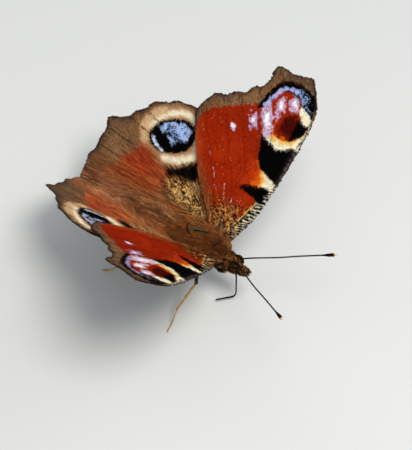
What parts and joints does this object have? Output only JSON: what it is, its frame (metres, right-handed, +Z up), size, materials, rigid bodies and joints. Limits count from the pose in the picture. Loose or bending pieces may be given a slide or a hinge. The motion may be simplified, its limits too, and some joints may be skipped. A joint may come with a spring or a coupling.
{
  "type": "peacock butterfly",
  "caption": "Life-size peacock butterfly standing with half-open red wings, each with an eyespot; furry brown body, long clubbed feelers.",
  "frame": {"origin": "middle of the outline at floor level, under the thorax", "axes": "+X towards the insect's left, -Y towards its head, +Z up"},
  "size_m": [0.0476, 0.0428, 0.026],
  "materials": {
    "body_fur": "dense short rust-brown hair, darker and speckled on the head",
    "eye": "dark faceted compound eye, satin gloss",
    "antenna": "dark scaled feeler with faint pale rings and a pale club tip",
    "proboscis": "black horny sucking tube, satin",
    "forewing": "dusty overlapping scales, brick red with black, cream and violet marks",
    "hindwing": "dusty scales and long silky hair, red-brown with a tan border and a blue-black eyespot",
    "leg_dark": "black-brown scaled thigh with short hair",
    "leg_tan": "yellow-brown shin and foot, thinly scaled"
  },
  "bodies": {
    "root": {"thorax": "body_fur", "head": "body_fur", "abdomen": "body_fur", "palp_left": "body_fur", "palp_right": "body_fur", "foreleg_left": "body_fur", "foreleg_right": "body_fur", "eye_left": "eye", "eye_right": "eye", "antenna_left": "antenna", "antenna_right": "antenna", "proboscis_base": "proboscis", "proboscis_tip": "proboscis", "forewing_left": "forewing", "forewing_right": "forewing", "hindwing_left": "hindwing", "hindwing_right": "hindwing", "mid_leg_femur_left": "leg_dark", "mid_leg_tibia_left": "leg_tan", "mid_leg_tarsus_left": "leg_tan", "mid_leg_femur_right": "leg_dark", "mid_leg_tibia_right": "leg_tan", "mid_leg_tarsus_right": "leg_tan", "hind_leg_femur_left": "leg_dark", "hind_leg_tibia_left": "leg_tan", "hind_leg_tarsus_left": "leg_tan", "hind_leg_femur_right": "leg_dark", "hind_leg_tibia_right": "leg_tan", "hind_leg_tarsus_right": "leg_tan"}
  },
  "joints": []
}
